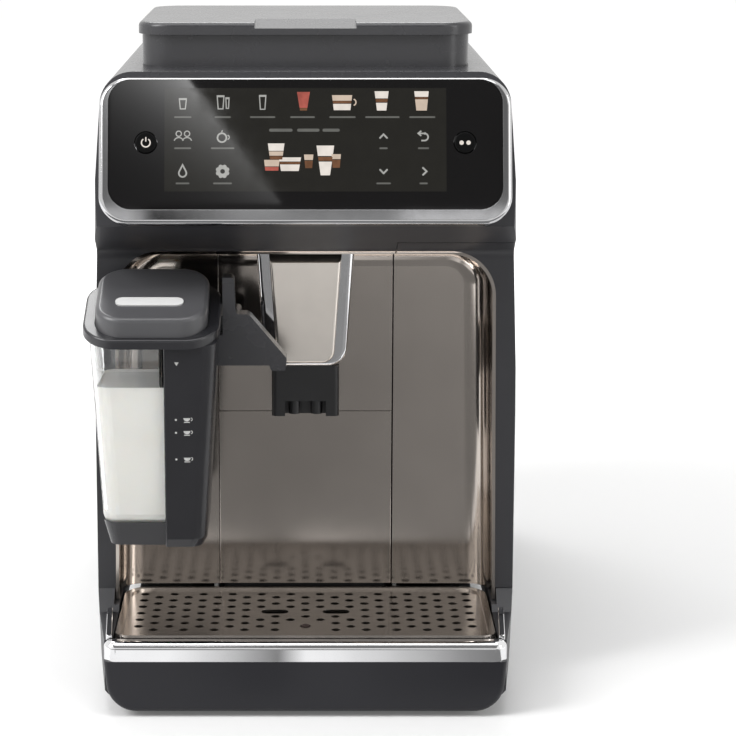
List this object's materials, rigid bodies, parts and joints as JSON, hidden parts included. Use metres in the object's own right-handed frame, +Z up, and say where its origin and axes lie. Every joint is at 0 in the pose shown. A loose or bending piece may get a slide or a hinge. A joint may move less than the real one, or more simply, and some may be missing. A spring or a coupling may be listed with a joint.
{
  "type": "bean-to-cup coffee machine",
  "caption": "Automatic bean-to-cup coffee machine with touch display, bean hopper, sliding spout, milk carafe, front water tank and pull-out drip tray.",
  "frame": {"origin": "on the worktop under the middle of the machine", "axes": "+X to the right seen from the front, +Y towards the back, +Z up"},
  "size_m": [0.2475, 0.434, 0.3873],
  "materials": {
    "anthracite": "fine satin, moulded",
    "black": "matt",
    "champagne": "metallic lacquer",
    "chrome_plate": "chrome plated",
    "display": "gloss black",
    "clear": "clear",
    "rubber": "matt",
    "steel": "machined",
    "white_plastic": "satin",
    "red": "satin",
    "aluminium": "cast",
    "board": "lacquered"
  },
  "bodies": {
    "machine": {"base_pan": "anthracite", "base_strip_left": "chrome_plate", "base_strip_right": "chrome_plate", "rubber_feet": "rubber", "top_deck": "anthracite", "front_fascia": "anthracite", "rear_panel": "anthracite", "left_side_panel": "anthracite", "right_side_panel": "anthracite", "mains_inlet": "black", "bay_left_panel": "champagne", "bay_upper_panel": "champagne", "hot_water_spigot": "steel", "spout_guide_rail": "black", "display_bezel": "chrome_plate", "display_glass": "display", "display_module": "black", "bean_hopper": "anthracite", "grinder_housing": "anthracite", "upper_burr": "steel", "grinder_motor": "aluminium", "tank_socket": "black", "internal_frame": "white_plastic", "brew_group_body": "black", "brew_motor": "aluminium", "water_pump": "aluminium", "boiler": "aluminium", "flow_meter": "white_plastic", "meter_hose": "rubber", "boiler_hose": "rubber", "control_board": "board"},
    "hopper_lid": {"hopper_lid": "anthracite", "hopper_lid_seal": "rubber"},
    "grind_knob": {"grind_knob": "black"},
    "lower_burr": {"lower_burr": "steel"},
    "power_button": {"power_button": "black"},
    "start_button": {"start_button": "black"},
    "coffee_spout": {"spout_cover": "champagne", "spout_frame": "chrome_plate", "spout_nozzle_block": "black", "spout_outlets": "steel", "spout_carriage": "black"},
    "drip_tray": {"tray_front_panel": "anthracite", "tray_chrome_strip": "chrome_plate", "tray_tub": "black", "grounds_container": "black", "grounds_panel": "champagne"},
    "drip_grate": {"drip_grate": "champagne"},
    "tray_float": {"tray_float": "red"},
    "water_tank": {"tank_shell": "clear", "tank_valve": "white_plastic", "water_filter": "white_plastic", "tank_liner": "champagne", "tank_jamb": "anthracite"},
    "milk_carafe": {"carafe_frame": "anthracite", "carafe_jug": "clear", "milk_spout": "anthracite"},
    "carafe_lid": {"carafe_lid": "anthracite", "lid_slot_insert": "chrome_plate"},
    "brew_piston": {"brew_piston": "white_plastic"}
  },
  "joints": [
    {"name": "hopper_lid_lift", "type": "slide", "parent": "machine", "child": "hopper_lid", "axis": [0, 0, 1], "range_m": [0, 0.06]},
    {"name": "grind_knob_turn", "type": "hinge", "parent": "machine", "child": "grind_knob", "pos_m": [0.066, -0.005, 0.366], "axis": [0, 0, 1], "range_deg": [-150, 150]},
    {"name": "burr_spin", "type": "hinge", "parent": "machine", "child": "lower_burr", "pos_m": [0, -0.053, 0.29], "axis": [0, 0, 1], "continuous": true},
    {"name": "power_press", "type": "slide", "parent": "machine", "child": "power_button", "axis": [0, 0.9613, -0.2756], "range_m": [0, 0.001], "stiffness_N_per_m": 400},
    {"name": "start_press", "type": "slide", "parent": "machine", "child": "start_button", "axis": [0, 0.9613, -0.2756], "range_m": [0, 0.001], "stiffness_N_per_m": 400},
    {"name": "spout_height", "type": "slide", "parent": "machine", "child": "coffee_spout", "axis": [0, 0, 1], "range_m": [-0.03, 0.024]},
    {"name": "tray_pull", "type": "slide", "parent": "machine", "child": "drip_tray", "axis": [0, -1, 0], "range_m": [0, 0.2]},
    {"name": "grate_lift", "type": "slide", "parent": "drip_tray", "child": "drip_grate", "axis": [0, 0, 1], "range_m": [0, 0.022]},
    {"name": "float_rise", "type": "slide", "parent": "drip_tray", "child": "tray_float", "axis": [0, 0, 1], "range_m": [0, 0.006]},
    {"name": "tank_pull", "type": "slide", "parent": "machine", "child": "water_tank", "axis": [0, 1, 0], "range_m": [-0.24, 0]},
    {"name": "carafe_pull", "type": "slide", "parent": "machine", "child": "milk_carafe", "axis": [0, -1, 0], "range_m": [0, 0.12]},
    {"name": "carafe_lid_lift", "type": "slide", "parent": "milk_carafe", "child": "carafe_lid", "axis": [0, 0, 1], "range_m": [0, 0.006]},
    {"name": "brew_stroke", "type": "slide", "parent": "machine", "child": "brew_piston", "axis": [0, 0, 1], "range_m": [0, 0.025]}
  ]
}
